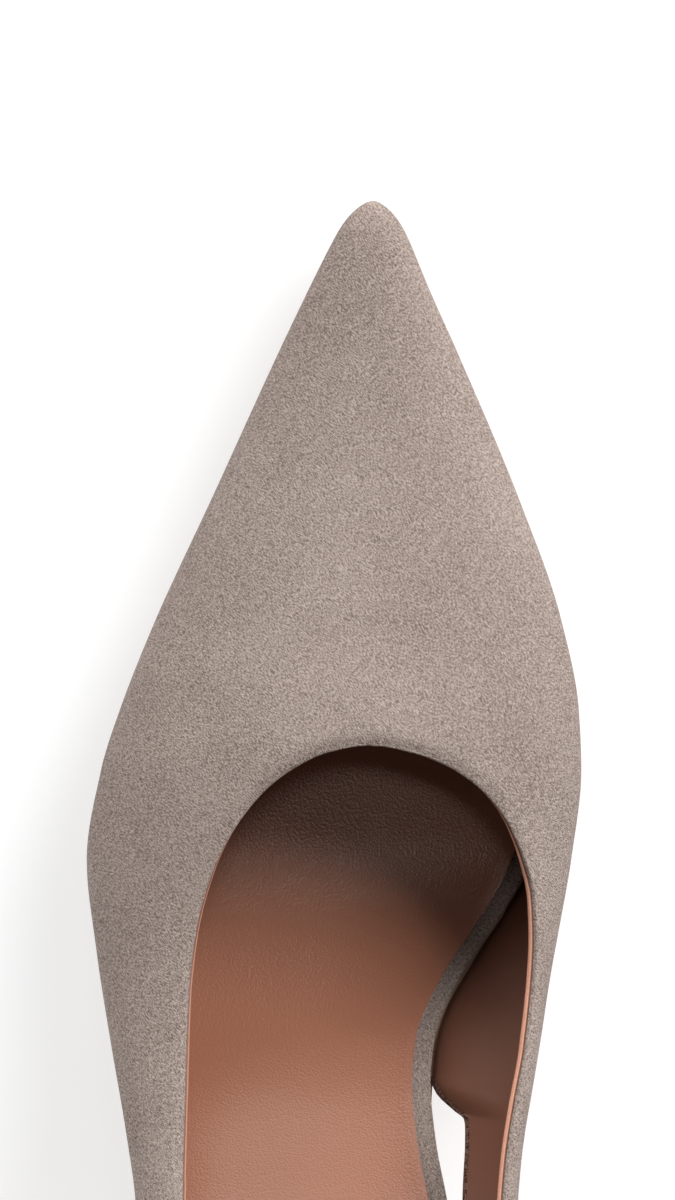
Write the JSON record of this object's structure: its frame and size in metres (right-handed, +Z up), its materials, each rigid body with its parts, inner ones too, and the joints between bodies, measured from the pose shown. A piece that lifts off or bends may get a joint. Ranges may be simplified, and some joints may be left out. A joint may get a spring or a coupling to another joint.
{
  "type": "slingback pump",
  "caption": "Left pointed-toe slingback pump: a suede upper with open sides runs back into a heel strap, over a leather sock and a slim covered heel.",
  "frame": {"origin": "middle of the shoe's box in plan, on the floor that it stands on", "axes": "+Y to the toe, +X to the inner (medial) side of the left foot, +Z up"},
  "size_m": [0.0793, 0.248, 0.1076],
  "materials": {
    "suede": "short taupe suede nap, matt, with a smooth tan leather lining",
    "insole_suede": "taupe suede wrapped over the insole's edge, matt",
    "sock_leather": "fine-grained tan leather, soft sheen",
    "sole_leather": "smooth sole leather, satin",
    "heel_suede": "taupe suede cover, matt",
    "lift_rubber": "moulded rubber, matt"
  },
  "bodies": {
    "root": {"upper": "suede", "insole": "insole_suede", "sock": "sock_leather", "outsole": "sole_leather", "heel": "heel_suede", "top_lift": "lift_rubber"}
  },
  "joints": []
}
